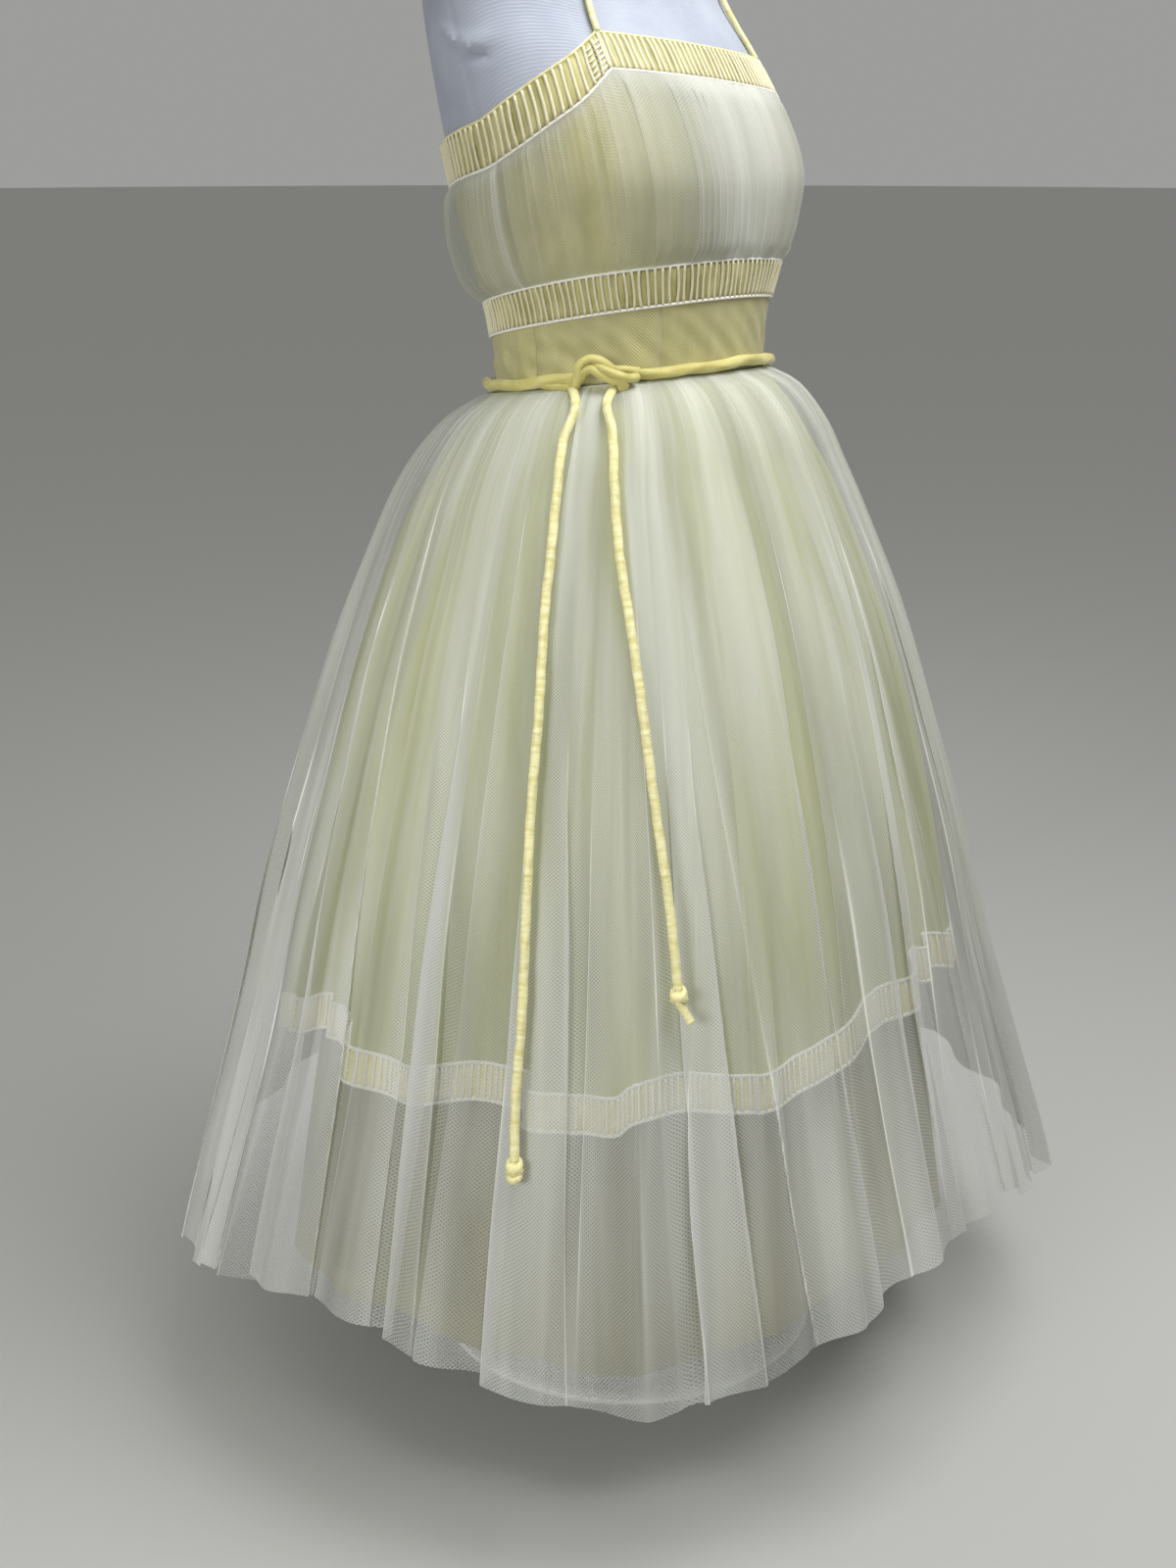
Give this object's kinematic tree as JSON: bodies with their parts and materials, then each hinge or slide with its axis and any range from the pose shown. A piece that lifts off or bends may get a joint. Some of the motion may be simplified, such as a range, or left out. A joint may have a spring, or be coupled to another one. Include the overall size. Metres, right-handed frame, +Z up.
{
  "type": "prom dress on a dress form",
  "caption": "Sleeveless tulle prom dress with thin straps, barred satin bands and a knotted cord belt, worn by a limbless dress form on a pole and round base.",
  "frame": {"origin": "centre of the round base's underside, on the floor", "axes": "+Z up along the pole; -Y is the front of the dress; +X is the wearer's left"},
  "size_m": [0.7609, 0.7186, 1.322],
  "materials": {
    "stand_steel": "smooth white paint",
    "form_jersey": "matt knitted jersey",
    "satin": "pale yellow satin with a soft gloss",
    "bodice_net": "gathered white net over yellow satin",
    "barred_trim": "yellow satin with raised white bars and corded edges",
    "tulle": "sheer grey-white tulle",
    "yellow_net": "sheer yellow net",
    "underskirt_cloth": "matt cream cloth"
  },
  "bodies": {
    "root": {"stand_base": "stand_steel", "stand_pole": "stand_steel", "form_torso": "form_jersey", "lining_front": "satin", "lining_back_left": "satin", "lining_back_right": "satin", "net_front": "bodice_net", "net_back_left": "bodice_net", "net_back_right": "bodice_net", "top_band_front": "barred_trim", "top_band_left": "barred_trim", "top_band_right": "barred_trim", "underbust_band_front": "barred_trim", "underbust_band_back": "barred_trim", "midriff_front": "bodice_net", "midriff_side_left": "bodice_net", "midriff_side_right": "bodice_net", "midriff_back_left": "bodice_net", "midriff_back_right": "bodice_net", "tulle_skirt_front": "tulle", "tulle_skirt_back": "tulle", "overlayer_front": "yellow_net", "overlayer_back": "yellow_net", "skirt_trim_front": "barred_trim", "skirt_trim_back": "barred_trim", "underskirt_front": "underskirt_cloth", "underskirt_back": "underskirt_cloth", "belt_cord": "satin", "belt_knot": "satin", "tie_end_long": "satin", "tie_end_short": "satin", "tie_knot_long": "satin", "tie_knot_short": "satin", "strap_right": "satin", "strap_left": "satin"}
  },
  "joints": []
}
